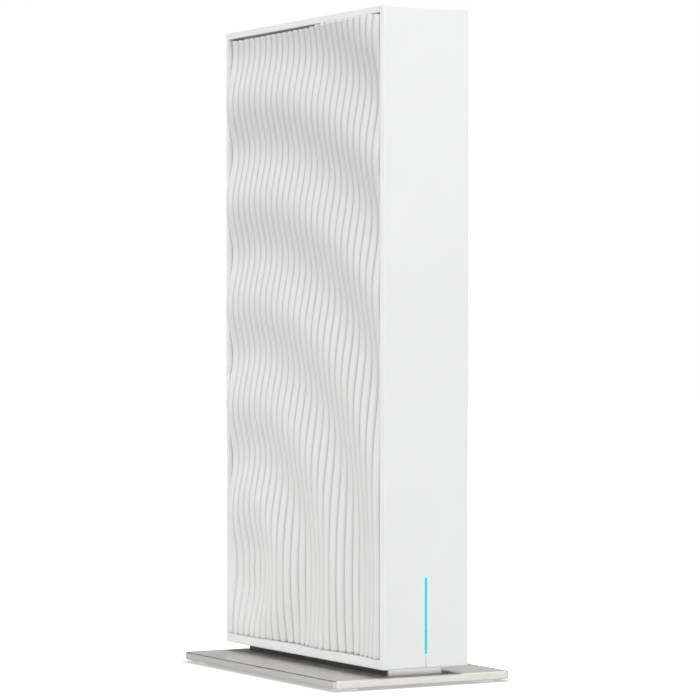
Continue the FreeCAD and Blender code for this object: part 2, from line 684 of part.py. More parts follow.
ANTENNA_PLANE = -2.0
ANTENNA_POSTS = (-42.0, -14.0, 14.0, 42.0)
WALL_ANTENNA_HEIGHTS = (78.0, 132.0, 186.0)
CABLE_RADIUS = 0.57
PLUG_HEIGHT = 1.6
PLUG_LINE = -47.2
TOP_PLUG_LINE = 207.0
TOP_ANTENNA_LENGTH = 42.0
TOP_ANTENNA_CENTRES = (-27.0, 27.0)
TOP_ANTENNA_HEIGHT = (225.0, 239.0)


def top_antenna(y):
    """A printed antenna board on two chassis posts, near the top of the housing."""
    return box((ANTENNA_PLANE, ANTENNA_PLANE + 0.8), middle(y, TOP_ANTENNA_LENGTH), TOP_ANTENNA_HEIGHT)


def wall_antenna(z):
    """A printed antenna board on the inside of the front wall."""
    return box(middle(0, 12.0), (INNER_FRONT, INNER_FRONT + 0.8), middle(z, 40.0))


def antenna_plugs():
    """The small coaxial plugs, pressed onto the board."""
    places = [(PLUG_LINE, z) for z in WALL_ANTENNA_HEIGHTS]
    places += [(y, TOP_PLUG_LINE) for y in TOP_ANTENNA_CENTRES]
    return [rod(1.2, (BOARD_FACE, y, z), X_AXIS, PLUG_HEIGHT) for y, z in places]


def antenna_cables():
    """A thin coaxial lead from each plug to its antenna."""
    lift = BOARD_FACE + PLUG_HEIGHT
    wall = INNER_FRONT + 0.8
    made = []
    for z in WALL_ANTENNA_HEIGHTS:
        made.append(tube([(lift, PLUG_LINE, z), (0, PLUG_LINE, z), (0, wall, z)], CABLE_RADIUS))
    plane = ANTENNA_PLANE + 0.8
    for y in TOP_ANTENNA_CENTRES:
        route = [(lift, y, TOP_PLUG_LINE), (2.0, y, TOP_PLUG_LINE), (2.0, y, 229.0), (plane, y, 229.0)]
        made.append(tube(route, CABLE_RADIUS))
    return made


# ----------------------------------------------------------------------- base


def base_plate():
    y = middle(0, PLATE_DEPTH)
    plate = rounded(box(middle(0, PLATE_WIDTH), y, (PLATE_BOTTOM, PLATE_TOP)), PLATE_CORNER, Z_AXIS)
    rims = [e for e in plate.Edges if abs(e.BoundBox.ZMax - e.BoundBox.ZMin) < 1e-6]
    plate = plate.makeChamfer(0.35, rims)
    for x, y in BASE_SCREWS:
        plate = plate.cut(rod(1.7, (x, y, 0), Z_AXIS, 5))
        plate = plate.cut(Part.makeCone(3.3, 1.7, 1.75, Vector(x, y, PLATE_BOTTOM), Z_AXIS))
    for x, y in foot_places():
        plate = plate.cut(rod(5.1, (x, y, PLATE_BOTTOM), Z_AXIS, 0.5))
    return plate


def base_neck():
    y = middle(0, NECK_DEPTH)
    neck = rounded(box(middle(0, NECK_WIDTH), y, (PLATE_TOP, BODY_BOTTOM)), 1.0, Z_AXIS)
    for x, y in BASE_SCREWS:
        neck = neck.cut(rod(1.7, (x, y, PLATE_TOP - 1), Z_AXIS, 5))
    return neck


def foot_places():
    return [(x, y) for x in (-29.5, 29.5) for y in (-53.5, 53.5)]


def rubber_feet():
    feet = []
    for x, y in foot_places():
        foot = rod(5.0, (x, y, 0), Z_AXIS, FOOT_HEIGHT + 0.5)
        feet.append(foot.makeFillet(0.3, [foot.Edges[2]]))
    return feet


def base_screws():
    screws = []
    for x, y in BASE_SCREWS:
        screws.append(screw((x, y, 12.5), Z_AXIS * -1, 12.5 - 2.7, 1.5, 3.0, 1.55, countersunk=True))
    return screws


def threaded_inserts():
    made = []
    for x, y in BASE_SCREWS:
        insert = rod(2.5, (x, y, BODY_BOTTOM), Z_AXIS, 6.4)
        made.append(insert.cut(rod(1.55, (x, y, BODY_BOTTOM - 1), Z_AXIS, 9)))
    return made


def board_screws():
    length = BOARD_FACE - CHASSIS_BACK
    return [screw((CHASSIS_BACK, y, z), X_AXIS, length, 1.15, 2.3, 1.6) for y, z in BOARD_SCREWS]


def chassis_screws():
    tip = CHASSIS_BOSS_TOP - 0.6
    return [screw((tip, y, z), X_AXIS * -1, tip - CHASSIS_BACK, 1.15, 2.3, 1.5) for y, z in CHASSIS_SCREWS]


def heatsink_screws():
    tip = BOARD_FACE + 3.2
    return [screw((tip, y, z), X_AXIS * -1, tip - BOARD_BACK, 1.0, 1.9, 1.2) for y, z in HEATSINK_SCREWS]


def port_panel_screws():
    length = 7.5
    tip = PORT_PANEL_OUTER - 1.15 - length
    heights = [BODY_BOTTOM + height for height in PANEL_SCREW_HEIGHTS]
    return [screw((0, tip, z), Y_AXIS, length, 1.0, 2.3, 1.1, countersunk=True) for z in heights]


def main():
    os.makedirs("parts", exist_ok=True)
    save("housing_frame", housing_frame())
    save("left_wave_panel", wave_panel(-1))
    save("right_wave_panel", wave_panel(1))
    save("rear_port_panel", rear_port_panel())
    save("light_bar", light_bar())
    save("light_bar_holder", light_bar_holder())
    save("light_board", light_board())
    save("light_emitters", *light_emitters())
    save("light_cable", light_cable())
    save("inner_chassis", inner_chassis())
    save("main_board", main_board())
    save("processor_chips", *[on_board(y, z, CHIP_HEIGHT, s, s) for y, z, s in CHIPS])
    save("memory_chips", *[on_board(y, z, 1.0, 12.0, 9.0) for y, z in MEMORIES])
    save("thermal_pads", *thermal_pads())
    save("heatsink", heatsink())
    save("radio_shields", *radio_shields())
    save("capacitors", *capacitors())
    save("inductors", *inductors())
    for i, height in enumerate(LAN_HEIGHTS):
        save(f"lan_jack_{len(LAN_HEIGHTS) - i}", ethernet_jack(height))
    save("wan_jack", ethernet_jack(WAN_HEIGHT))
    save("ethernet_contacts", *ethernet_contacts())
    save("ethernet_magnetics", *magnetics())
    save("usb_shell", usb_shell())
    save("usb_tongue", usb_tongue())
    save("usb_contacts", *usb_contacts())
    save("power_jack_body", power_jack_body())
    save("power_jack_pin", power_jack_pin())
    save("power_button", power_button())
    save("power_switch", power_switch())
    save("pairing_button", pairing_button())
    save("pairing_switch", tact_body(PAIRING_HEIGHT))
    save("pairing_plunger", tact_plunger(PAIRING_HEIGHT, 54.1))
    save("reset_switch", tact_body(RESET_HEIGHT))
    save("reset_plunger", tact_plunger(RESET_HEIGHT, 55.2))
    for name, y in zip(("front", "rear"), TOP_ANTENNA_CENTRES):
        save(f"top_{name}_antenna", top_antenna(y))
    for name, z in zip(("lower", "middle", "upper"), WALL_ANTENNA_HEIGHTS):
        save(f"{name}_front_antenna", wall_antenna(z))
    save("antenna_plugs", *antenna_plugs())
    save("antenna_cables", *antenna_cables())
    save("base_neck", base_neck())
    save("base_plate", base_plate())
    save("rubber_feet", *rubber_feet())
    save("base_screws", *base_screws())
    save("threaded_inserts", *threaded_inserts())
    save("board_screws", *board_screws())
    save("chassis_screws", *chassis_screws())
    save("heatsink_screws", *heatsink_screws())
    save("port_panel_screws", *port_panel_screws())


main()
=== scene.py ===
"""Looks for the slim upright wireless router: its wave panels, finishes, studio and camera."""

import json
import math

import bpy
import numpy as np
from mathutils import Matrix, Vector


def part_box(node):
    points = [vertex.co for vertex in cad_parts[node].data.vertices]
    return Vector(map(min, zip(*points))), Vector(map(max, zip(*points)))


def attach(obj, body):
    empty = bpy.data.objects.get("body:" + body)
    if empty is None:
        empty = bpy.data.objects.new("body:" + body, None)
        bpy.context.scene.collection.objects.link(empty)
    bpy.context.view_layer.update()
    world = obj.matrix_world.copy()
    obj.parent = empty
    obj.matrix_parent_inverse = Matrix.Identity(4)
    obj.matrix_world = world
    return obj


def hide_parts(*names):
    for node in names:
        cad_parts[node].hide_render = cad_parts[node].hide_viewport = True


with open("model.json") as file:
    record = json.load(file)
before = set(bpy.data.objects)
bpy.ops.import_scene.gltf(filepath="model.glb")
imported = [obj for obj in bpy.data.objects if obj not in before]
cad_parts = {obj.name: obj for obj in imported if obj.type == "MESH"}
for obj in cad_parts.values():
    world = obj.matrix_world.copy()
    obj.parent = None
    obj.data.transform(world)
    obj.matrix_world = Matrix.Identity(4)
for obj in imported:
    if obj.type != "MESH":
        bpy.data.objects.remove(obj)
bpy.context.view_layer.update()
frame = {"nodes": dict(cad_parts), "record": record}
MM = 0.001

# ---- The wave panels, in metres ----
RIB_COUNT = 26
RIB_DEPTH = 0.8 * MM
RIB_POWER = 3.2
MEAN_RISE = -0.32 * MM
WAVE_LENGTH = 39.86 * MM
WAVE_HEIGHT = 1.375 * MM
WAVE_TROUGH_RADIUS = 5.6 * MM
WAVE_CENTRE_FROM_REAR = 19.65 * MM
WAVE_CENTRE_ABOVE_BODY = 30.6 * MM
PANEL_DEPTH = 5.1 * MM
TOP_SCALLOP = 0.3 * MM
BOTTOM_SCALLOP = 0.5 * MM
TOP_WALL = 2.5 * MM
BOTTOM_WALL = 3.8 * MM
STEPS_ACROSS_RIB = 14
STEP_ALONG_RIB = 1.0 * MM

# ---- The gap over the wave panels' top edges ----
# It is open where the wave is deep and closed where it is shallow.
TOP_GAP = 0.75 * MM
CLOSED_RECESS = -0.3 * MM
OPEN_RECESS = 0.2 * MM
PANEL_CLEARANCE = 0.005 * MM

# ---- Painted shade on the wave panels, as a share of their colour ----
# A groove's shade starts GROOVE_START rib pitches off the crown. GROOVE_SWING makes it weaker on slopes
# turned to the rings' centre, and stronger on slopes turned away from it.
GROOVE_PAINTED_SHADE = 0.88
GROOVE_SWING = 0.7
GROOVE_START = 0.36
HALF_RIB = 0.5
# Faces turned down get painted shade in full at the body's top, and less and less towards its bottom.
DOWNWARD_PAINTED_SHADE = 0.79
DOWNWARD_TILT = 0.2
LOW_SHADE_SHARE = 0.0

# ---- The light bar, and its light painted as a glow on the wall beside it ----
# The painted glow and the moulding line's painted shade are drawn no deeper than FRONT_SKIN behind the
# bar's front.
LIGHT_HALF_WIDTH = 0.625 * MM
LIGHT_CORE_HALF_WIDTH = 0.4 * MM
LIGHT_HALF_LENGTH = 14.0 * MM
LIGHT_CORE_COLOUR = (0.085, 0.345, 0.32, 1)
LIGHT_EDGE_COLOUR = (0.46, 0.78, 0.76, 1)
GLOW_REACH = 0.42 * MM
GLOW_STRENGTH = 0.25
GLOW_TINT = (0.36, 0.862, 0.855, 1)
GLOW_COLOUR = (0.0, 1.0, 0.95, 1)
FRONT_SKIN = 0.4 * MM

# ---- Painted shade along the faint moulding line from the light bar down to the wall's lower edge ----
WITNESS_HALF_WIDTH = 0.2 * MM
WITNESS_PAINTED_SHADE = 0.82

# ---- Colours, and painted shade on the faces turned along one axis ----
SHELL_COLOUR = (0.855, 0.863, 0.86)
SHELL_LEVEL_PAINTED_SHADE = 0.8
PANEL_COLOUR = (0.793, 0.795, 0.789)
PLATE_COLOUR = (0.73, 0.72, 0.697)
PLATE_SIDE_PAINTED_SHADE = 0.54
NECK_COLOUR = (0.82, 0.815, 0.80)
NECK_SIDE_PAINTED_SHADE = 0.06
TURNED_POWER = 4.0
FOOT_COLOUR = (0.85, 0.85, 0.84)
FOOT_PAINTED_GLOW = (0.20, 0.26)
WHITE = (1, 1, 1, 1)

# ---- Fine grain and slow changes of tone, common to every finish ----
NOISE_RANGE = (0.3, 0.7)
SLOW_SCALE = 35.0
SLOW_DETAIL = 2.0
GLOSS_SPREAD = 0.05
PLATE_GRAIN = (1, 0.02, 1)
NECK_GRAIN = (1, 0.05, 1)
TRACK_SCALE = 420.0
TRACK_GAP = 0.05

# ---- The studio: square soft lights as (azimuth, elevation, power), all at one distance ----
LAMP_DISTANCE = 1.8
LAMP_SIZE = 1.0
LAMPS = {
    "front_middle_light": (0, 38, 8.0),
    "front_high_light": (0, 62, 16.2),
    "rear_left_light": (-120, 12, 18.1),
    "side_light": (-90, 12, 1.4),
    "key_light": (-30, 12, 6.7),
    "front_right_light": (30, 38, 1.2),
    "rear_right_light": (150, 45, 8.0),
    "right_light": (90, 45, 5.0),
    "front_low_light": (30, 12, 3.0),
}
WORLD_LIGHT = 0.05

# ---- The floor ----
# Diffuse rays see the FLOOR_BOUNCE colour. The camera sees the glow from NEAR to FAR, and every other ray
# sees FLOOR_LIGHT, which lights the router from below.
FLOOR_SIZE = 8.0
FLOOR_COLOUR = (0.95, 0.95, 0.95)
FLOOR_BOUNCE = (0.2, 0.2, 0.2)
FLOOR_LIGHT = 0.32
FLOOR_GLOW_NEAR = 0.75
FLOOR_GLOW_FAR = 1.1
FLOOR_GLOW_START = 0.15
FLOOR_GLOW_END = 1.0
# Painted contact shadow on the floor around the base plate.
CONTACT_REACH = 4.5 * MM
CONTACT_PAINTED_SHADE = 0.45

# ---- The camera: an eye-level view from the front left ----
VIEW_AZIMUTH = math.radians(-29.534)
VIEW_TILT = math.radians(-0.254)
VIEW_DISTANCE = 1.1978
VIEW_TARGET = Vector((0.0033, 0.0, 0.1238))
SENSOR = 36.0
LENS = 159.68
CAMERA_REACH = 50.0


# ------------------------------------------------------------------ materials


def new_material(name):
    """A material with an empty Principled surface, and its node tree."""
    made = bpy.data.materials.new(name)
    made.use_nodes = True
    tree = made.node_tree
    return made, tree, tree.nodes["Principled BSDF"]


def node(tree, kind, **inputs):
    """A node with its input values set by socket name."""
    made = tree.nodes.new(kind)
    for key, value in inputs.items():
        made.inputs[key.replace("_", " ")].default_value = value
    return made


def place(tree, stretch=(1, 1, 1)):
    """Object coordinates in metres, stretched along each axis."""
    coords = tree.nodes.new("ShaderNodeTexCoord")
    mapping = tree.nodes.new("ShaderNodeMapping")
    mapping.inputs["Scale"].default_value = stretch
    tree.links.new(coords.outputs["Object"], mapping.inputs["Vector"])
    return mapping.outputs["Vector"]


def noise(tree, where, scale, detail=3.0):
    """A noise value at some coordinates."""
    made = node(tree, "ShaderNodeTexNoise", Scale=scale, Detail=detail)
    tree.links.new(where, made.inputs["Vector"])
    return made.outputs["Fac"]


def ranged(tree, value, start, end, easing="LINEAR"):
    """A value moved from the range start to the range end."""
    limits = {"From_Min": start[0], "From_Max": start[1], "To_Min": end[0], "To_Max": end[1]}
    made = node(tree, "ShaderNodeMapRange", **limits)
    made.interpolation_type = easing
    tree.links.new(value, made.inputs["Value"])
    return made.outputs["Result"]


def spread(tree, value, low, high):
    """A noise value, moved into the range low to high."""
    return ranged(tree, value, NOISE_RANGE, (low, high))


def mixed(tree, factor, first, second):
    """A colour between two others, each one a colour or a socket."""
    mix = tree.nodes.new("ShaderNodeMix")
    mix.data_type = "RGBA"
    for key, colour in (("A", first), ("B", second)):
        if isinstance(colour, bpy.types.NodeSocket):
            tree.links.new(colour, mix.inputs[key])
        else:
            mix.inputs[key].default_value = colour
    tree.links.new(factor, mix.inputs["Factor"])
    return mix.outputs["Result"]


def parts_of(tree, kind):
    """The x, y and z sockets of the Object coordinates or of the Normal."""
    coords = tree.nodes.new("ShaderNodeTexCoord")
    apart = tree.nodes.new("ShaderNodeSeparateXYZ")
    tree.links.new(coords.outputs[kind], apart.inputs["Vector"])
    return apart.outputs


def bump(tree, surface, value, height):
    """A bump of some height in metres from a noise value."""
    made = node(tree, "ShaderNodeBump", Strength=1.0, Distance=height)
    tree.links.new(value, made.inputs["Height"])
    tree.links.new(made.outputs["Normal"], surface.inputs["Normal"])


def toned(colour, amount):
    """A colour made lighter or darker."""
    return tuple(max(0.0, min(1.0, c * amount)) for c in colour)


def math_node(tree, operation, first, second=None):
    """The result of a Math node on values or sockets."""
    made = tree.nodes.new("ShaderNodeMath")
    made.operation = operation
    for socket, value in zip(made.inputs, (first, second)):
        if isinstance(value, bpy.types.NodeSocket):
            tree.links.new(value, socket)
        elif value is not None:
            socket.default_value = value
    return made.outputs["Value"]


def square(tree, value):
    """A value times itself."""
    return math_node(tree, "MULTIPLY", value, value)


def colour_of(surface):
    """The socket that drives the surface's colour now."""
    return surface.inputs["Base Color"].links[0].from_socket


def darker(tree, surface, where, shade_share):
    """Takes the surface's colour down to a share of itself where the value is 1."""
    scale = node(tree, "ShaderNodeMapRange", To_Min=1.0, To_Max=shade_share)
    scale.clamp = False
    tree.links.new(where, scale.inputs["Value"])
    scaled = tree.nodes.new("ShaderNodeVectorMath")
    scaled.operation = "SCALE"
    tree.links.new(colour_of(surface), scaled.inputs[0])
    tree.links.new(scale.outputs["Result"], scaled.inputs["Scale"])
    tree.links.new(scaled.outputs["Vector"], surface.inputs["Base Color"])


def turned_to(tree, axis):
    """A value that is 1 on faces turned along an axis, either way, and 0 on faces turned off it."""
    along = math_node(tree, "ABSOLUTE", parts_of(tree, "Normal")[axis])
    return math_node(tree, "POWER", along, TURNED_POWER)


def textured(
    name, colour, roughness, grain=900.0, depth=4e-6, metallic=0.0, stretch=(1, 1, 1), tone=0.03
):
    """A surface with fine grain, and slow changes of tone and gloss."""
    made, tree, surface = new_material(name)
    fine = noise(tree, place(tree, stretch), grain)
    slow = noise(tree, place(tree), SLOW_SCALE, SLOW_DETAIL)
    dark, light = toned(colour, 1 - tone), toned(colour, 1 + tone / 2)
    colours = mixed(tree, spread(tree, slow, 0, 1), (*dark, 1), (*light, 1))
    tree.links.new(colours, surface.inputs["Base Color"])
    gloss = spread(tree, fine, roughness - GLOSS_SPREAD, roughness + GLOSS_SPREAD)
    tree.links.new(gloss, surface.inputs["Roughness"])
    surface.inputs["Metallic"].default_value = metallic
    bump(tree, surface, fine, depth)
    return made, tree, surface


def white_shell():
    """Satin white plastic, with painted shade on its level faces and the moulding line, and a painted
    glow beside the bar.
    """
    made, tree, surface = textured("white_shell", SHELL_COLOUR, 0.42, 1500.0, 2e-6, tone=0.008)
    # Painted shade: the shell's faces turned up or down are darkened.
    darker(tree, surface, turned_to(tree, "Z"), SHELL_LEVEL_PAINTED_SHADE)
    low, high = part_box("light_bar")
    at = parts_of(tree, "Object")
    off_middle = math_node(tree, "ABSOLUTE", at["X"])
    beside = math_node(tree, "SUBTRACT", off_middle, LIGHT_HALF_WIDTH)
    beside = math_node(tree, "MAXIMUM", beside, 0.0)
    along = math_node(tree, "SUBTRACT", at["Z"], (low.z + high.z) / 2)
    along = math_node(tree, "SUBTRACT", math_node(tree, "ABSOLUTE", along), LIGHT_HALF_LENGTH)
    along = math_node(tree, "MAXIMUM", along, 0.0)
    far = math_node(tree, "SQRT", math_node(tree, "ADD", square(tree, beside), square(tree, along)))
    # Painted glow: the bar's light drawn on the wall beside it as tint and emission.
    glow = math_node(tree, "EXPONENT", math_node(tree, "MULTIPLY", far, -1 / GLOW_REACH))
    front = math_node(tree, "LESS_THAN", at["Y"], low.y + FRONT_SKIN)
    glow = math_node(tree, "MULTIPLY", glow, front)
    tinted = mixed(tree, glow, colour_of(surface), GLOW_TINT)
    tree.links.new(tinted, surface.inputs["Base Color"])
    surface.inputs["Emission Color"].default_value = GLOW_COLOUR
    shining = math_node(tree, "MULTIPLY", glow, GLOW_STRENGTH)
    tree.links.new(shining, surface.inputs["Emission Strength"])
    # Painted shade along the moulding line below the bar.
    line = math_node(tree, "LESS_THAN", off_middle, WITNESS_HALF_WIDTH)
    line = math_node(tree, "MULTIPLY", line, front)
    line = math_node(tree, "MULTIPLY", line, math_node(tree, "LESS_THAN", at["Z"], low.z))
    darker(tree, surface, line, WITNESS_PAINTED_SHADE)
    return made


def groove_depth(tree, at):
    """How deep in a groove a point is, from 0 to 1. The rear rib's outer half has none."""
    low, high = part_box("left_wave_panel")
    pitch = (high.y - low.y) / RIB_COUNT
    ribs = math_node(tree, "SUBTRACT", at["Y"], low.y)
    ribs = math_node(tree, "FRACT", math_node(tree, "MULTIPLY", ribs, RIB_COUNT / (high.y - low.y)))
    off_crown = math_node(tree, "ABSOLUTE", math_node(tree, "SUBTRACT", ribs, HALF_RIB))
    groove = ranged(tree, off_crown, (GROOVE_START, HALF_RIB), (0, 1), "SMOOTHSTEP")
    before_rear = math_node(tree, "LESS_THAN", at["Y"], high.y - pitch / 2)
    return math_node(tree, "MULTIPLY", groove, before_rear)


def ring_slope(tree, at, low, high):
    """The wave's slope, from -1 to 1: 1 where its surface is turned to the rings' centre.
    The centre is placed from the housing's low and high corners."""
    across = math_node(tree, "SUBTRACT", at["Y"], high.y - WAVE_CENTRE_FROM_REAR)
    above = math_node(tree, "SUBTRACT", at["Z"], low.z + WAVE_CENTRE_ABOVE_BODY)
    apart = math_node(tree, "ADD", square(tree, across), square(tree, above))
    turns = math_node(tree, "SUBTRACT", math_node(tree, "SQRT", apart), WAVE_TROUGH_RADIUS)
    return math_node(tree, "SINE", math_node(tree, "MULTIPLY", turns, 2 * math.pi / WAVE_LENGTH))


def white_panel():
    """Satin white plastic, with painted shade along the grooves between the ribs and on faces turned
    down.
    """
    made, tree, surface = textured("white_panel", PANEL_COLOUR, 0.5, 1500.0, 2e-6, tone=0.008)
    low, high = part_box("housing_frame")
    at = parts_of(tree, "Object")
    # Painted shade in the grooves, weaker or stronger with the wave's slope.
    swing = math_node(tree, "MULTIPLY", ring_slope(tree, at, low, high), GROOVE_SWING)
    swing = math_node(tree, "SUBTRACT", 1.0, swing)
    grooves = math_node(tree, "MULTIPLY", groove_depth(tree, at), swing)
    darker(tree, surface, grooves, GROOVE_PAINTED_SHADE)
    # Painted shade on faces turned down, fading towards the body's bottom.
    turned_up = parts_of(tree, "Normal")["Z"]
    downward = ranged(tree, turned_up, (DOWNWARD_TILT, -DOWNWARD_TILT), (0, 1))
    share = ranged(tree, at["Z"], (low.z, high.z), (LOW_SHADE_SHARE, 1))
    darker(tree, surface, math_node(tree, "MULTIPLY", downward, share), DOWNWARD_PAINTED_SHADE)
    return made


def light_guide():
    """A lit translucent bar: teal along its middle and paler at its two long edges."""
    made, tree, surface = textured("light_guide", (0.06, 0.20, 0.19), 0.3, 800.0, 1e-6)
    along = noise(tree, place(tree, (1, 1, 0.3)), 300.0)
    tree.links.new(spread(tree, along, 0.92, 1.0), surface.inputs["Emission Strength"])
    off_middle = math_node(tree, "ABSOLUTE", parts_of(tree, "Object")["X"])
    edge = ranged(tree, off_middle, (LIGHT_CORE_HALF_WIDTH, LIGHT_HALF_WIDTH), (0, 1), "SMOOTHSTEP")
    colours = mixed(tree, edge, LIGHT_CORE_COLOUR, LIGHT_EDGE_COLOUR)
    tree.links.new(colours, surface.inputs["Emission Color"])
    return made


def brushed_base():
    """Aluminium brushed along the base's length, with painted shade on its two long side faces."""
    look = (PLATE_COLOUR, 0.46, 2600.0, 1.6e-6, 1.0, PLATE_GRAIN, 0.02)
    made, tree, surface = textured("brushed_base", *look)
    # Painted shade on the plate's faces turned sideways.
    darker(tree, surface, turned_to(tree, "X"), PLATE_SIDE_PAINTED_SHADE)
    return made


def neck_metal():
    """Brushed metal at the front and rear; its two long sides are darkened with painted shade from the
    body's overhang.
    """
    look = (NECK_COLOUR, 0.4, 2200.0, 1.5e-6, 1.0, NECK_GRAIN, 0.02)
    made, tree, surface = textured("neck_metal", *look)
    # Painted shade: the neck's sides under the body's overhang are made dark.
    darker(tree, surface, turned_to(tree, "X"), NECK_SIDE_PAINTED_SHADE)
    return made


def circuit_board(name, mask):
    """Solder mask over faint copper tracks."""
    made, tree, surface = textured(name, mask, 0.35, 1200.0, 2e-6)
    tracks = node(tree, "ShaderNodeTexBrick", Scale=TRACK_SCALE, Mortar_Size=TRACK_GAP)
    for key, tone in (("Color1", 1.0), ("Color2", 0.85), ("Mortar", 1.8)):
        tracks.inputs[key].default_value = (*toned(mask, tone), 1)
    tree.links.new(place(tree), tracks.inputs["Vector"])
    tree.links.new(tracks.outputs["Color"], surface.inputs["Base Color"])
    return made


def pale_foot_painted_glow():
    """Pale feet, with a painted glow so that they don't show dark in the shade under the plate."""
    made, tree, surface = textured("foot_rubber", FOOT_COLOUR, 0.6, 900.0, 6e-6)
    # Painted glow on the feet.
    foot_glow_noise = noise(tree, place(tree), 400.0)
    tree.links.new(spread(tree, foot_glow_noise, *FOOT_PAINTED_GLOW), surface.inputs["Emission Strength"])
    surface.inputs["Emission Color"].default_value = WHITE
    return made


def plain_slots():
    """The finishes that one call each describes: colour, roughness, grain, depth and metalness."""
    table = {
        "port_panel_plastic": ((0.70, 0.705, 0.70), 0.5, 1400.0, 5e-6, 0.0),
        "chassis_plastic": ((0.05, 0.05, 0.055), 0.55, 900.0, 6e-6, 0.0),
        "dark_plastic": ((0.02, 0.02, 0.022), 0.45, 900.0, 4e-6, 0.0),
        "wan_plastic": ((0.02, 0.09, 0.30), 0.45, 900.0, 4e-6, 0.0),
        "button_plastic": ((0.80, 0.80, 0.80), 0.4, 1400.0, 2e-6, 0.0),
        "steel": ((0.62, 0.62, 0.63), 0.3, 1600.0, 2e-6, 1.0),
        "contact_metal": ((0.90, 0.68, 0.32), 0.25, 1600.0, 1e-6, 1.0),
        "chip": ((0.015, 0.015, 0.016), 0.6, 1800.0, 4e-6, 0.0),
        "thermal_pad": ((0.35, 0.42, 0.52), 0.8, 700.0, 8e-6, 0.0),
        "sink_metal": ((0.62, 0.62, 0.63), 0.45, 1200.0, 4e-6, 1.0),
        "capacitor_can": ((0.70, 0.70, 0.72), 0.25, 1400.0, 1e-6, 1.0),
        "lead_jacket": ((0.02, 0.02, 0.02), 0.5, 1200.0, 3e-6, 0.0),
        "brass": ((0.80, 0.58, 0.26), 0.3, 1600.0, 2e-6, 1.0),
        "holder_plastic": ((0.78, 0.78, 0.76), 0.5, 1200.0, 3e-6, 0.0),
        "emitter": ((0.80, 0.78, 0.55), 0.3, 1200.0, 1e-6, 0.0),
    }
    return {name: textured(name, *look)[0] for name, look in table.items()}


def finish_nodes():
    """Gives every CAD node the finish of its material slot."""
    finishes = plain_slots()
    finishes["white_shell"] = white_shell()
    finishes["white_panel"] = white_panel()
    finishes["light_guide"] = light_guide()
    finishes["brushed_base"] = brushed_base()
    finishes["neck_metal"] = neck_metal()
    finishes["foot_rubber"] = pale_foot_painted_glow()
    finishes["board"] = circuit_board("board", (0.012, 0.10, 0.04))
    finishes["antenna_board"] = circuit_board("antenna_board", (0.02, 0.03, 0.025))
    for subpart in frame["record"]["subparts"]:
        shown = frame["nodes"][subpart["node"]]
        shown.data.materials.clear()
        shown.data.materials.append(finishes[subpart["material_slot"]])
    return finishes


# ---------------------------------------------------------------- wave panels


def rib_columns(low, high):
    """Every y across the panel, and how far each is down from its rib's crown, as a share of the
    rib's depth. The rear rib's outer half stays level, up to the housing's rear wall."""
    edges = np.linspace(low, high, RIB_COUNT + 1)
    turns = np.linspace(-math.pi / 2, math.pi / 2, STEPS_ACROSS_RIB + 1)[:-1]
    across = np.sin(turns)
    half = (edges[1] - edges[0]) / 2
    places = [middle + across * half for middle in edges[:-1] + half]
    shares = np.tile(np.abs(across) ** RIB_POWER, RIB_COUNT)
    shares[-(STEPS_ACROSS_RIB // 2):] = 0.0
    return np.append(np.concatenate(places), high), np.append(shares, 0.0)


def wave_rise(y, z, rear, bottom):
    """How far the ribs' crowns stand out of the housing's side: rings about one centre."""
    radius = np.hypot(y - (rear - WAVE_CENTRE_FROM_REAR), z - (bottom + WAVE_CENTRE_ABOVE_BODY))
    turns = 2 * math.pi * (radius - WAVE_TROUGH_RADIUS) / WAVE_LENGTH
    return MEAN_RISE - WAVE_HEIGHT * np.cos(turns)


def wave_panel(name, cad_name, side, finish):
    """A closed panel: the ribbed wave face, four walls and a flat back."""
    panel_low, panel_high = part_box(cad_name)
    body_low, body_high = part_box("housing_frame")
    y, down = rib_columns(panel_low.y, panel_high.y)
    rows = round((panel_high.z - panel_low.z) / STEP_ALONG_RIB) + 1
    low_edge = body_low.z + BOTTOM_WALL + PANEL_CLEARANCE + BOTTOM_SCALLOP * down
    high_edge = body_high.z - TOP_WALL - PANEL_CLEARANCE
    recess = -wave_rise(y, high_edge, body_high.y, body_low.z)
    open_part = np.clip((recess - CLOSED_RECESS) / (OPEN_RECESS - CLOSED_RECESS), 0, 1)
    sunk_groove = np.clip((recess + RIB_DEPTH) / RIB_DEPTH, 0, 1)
    top = high_edge - TOP_GAP * open_part - TOP_SCALLOP * down * sunk_groove
    share = np.linspace(0, 1, rows)[:, None]
    grid_z = low_edge + share * (top - low_edge)
    grid_y = np.broadcast_to(y, grid_z.shape)
    face = body_high.x + wave_rise(grid_y, grid_z, body_high.y, body_low.z) - RIB_DEPTH * down
    front = np.stack([side * face, grid_y, grid_z], axis=-1).reshape(-1, 3)
    columns = len(y)
    index = np.arange(rows * columns).reshape(rows, columns)
    corners = [index[:-1, :-1], index[:-1, 1:], index[1:, 1:], index[1:, :-1]]
    quads = np.stack(corners, axis=-1).reshape(-1, 4)
    rim = [*index[0, :-1], *index[:-1, -1], *index[-1, :0:-1], *index[:0:-1, 0]]
    back = front[rim].copy()
    back[:, 0] = side * (body_high.x - PANEL_DEPTH)
    first = rows * columns
    count = len(rim)
    after = [(i + 1) % count for i in range(count)]
    walls = [(rim[j], rim[i], first + i, first + j) for i, j in enumerate(after)]
    faces = [tuple(q) for q in quads] + walls + [tuple(range(first + count - 1, first - 1, -1))]
    if side < 0:
        faces = [f[::-1] for f in faces]
    mesh = bpy.data.meshes.new(name)
    mesh.from_pydata(np.vstack([front, back]).tolist(), [], [[int(i) for i in f] for f in faces])
    smooth = [i < len(quads) for i in range(len(faces))]
    mesh.polygons.foreach_set("use_smooth", smooth)
    mesh.materials.append(finish)
    mesh.validate()
    mesh.update()
    panel = bpy.data.objects.new(name, mesh)
    bpy.context.scene.collection.objects.link(panel)
    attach(panel, "router")
    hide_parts(cad_name)


